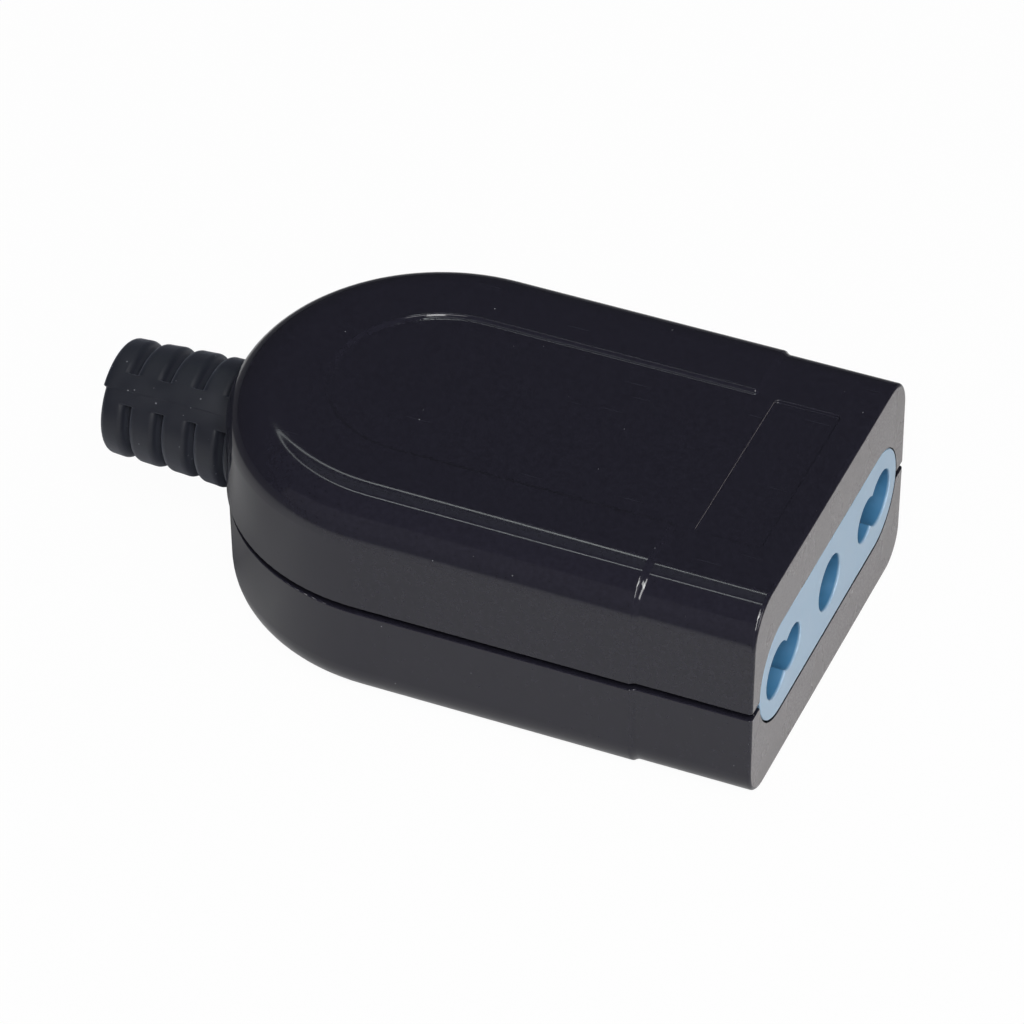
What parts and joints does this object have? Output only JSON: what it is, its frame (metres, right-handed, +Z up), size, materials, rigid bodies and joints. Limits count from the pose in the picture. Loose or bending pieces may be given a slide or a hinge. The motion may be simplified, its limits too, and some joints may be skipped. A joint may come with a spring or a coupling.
{
  "type": "in-line power socket",
  "caption": "Black two-part in-line power socket with a half-round back, proud band, pale blue face with round pin holes, sliding shutter and ribbed cord boot.",
  "frame": {"origin": "under the middle of the whole object, on the plane it lies on", "axes": "+X out of the socket face, +Y along the row of pin holes, +Z up from the underside to the top"},
  "size_m": [0.0702, 0.0392, 0.0222],
  "materials": {
    "case_black": "glossy moulded black",
    "block_blue": "light blue, satin",
    "shutter_white": "off-white, satin",
    "spring_steel": "bright drawn wire",
    "contact_bronze": "stamped phosphor bronze",
    "terminal_brass": "sawn and drilled brass",
    "screw_steel": "zinc plated",
    "clamp_black": "matt moulded black",
    "boot_rubber": "matt moulded rubber"
  },
  "bodies": {
    "socket": {"upper_shell": "case_black", "lower_shell": "case_black", "contact_block": "block_blue", "shutter_springs": "spring_steel", "line_clip": "contact_bronze", "earth_clip": "contact_bronze", "neutral_clip": "contact_bronze", "line_terminal": "terminal_brass", "earth_terminal": "terminal_brass", "neutral_terminal": "terminal_brass", "terminal_screws": "screw_steel", "case_screws": "screw_steel", "clamp_screws": "screw_steel", "cord_clamp": "clamp_black", "boot": "boot_rubber"},
    "shutter": {"shutter": "shutter_white"}
  },
  "joints": [
    {"name": "shutter_lift", "type": "slide", "parent": "socket", "child": "shutter", "axis": [0, 0, 1], "range_m": [0, 0.0047], "stiffness_N_per_m": 60, "springref_m": -0.004, "deforming": ["shutter_springs"]}
  ]
}
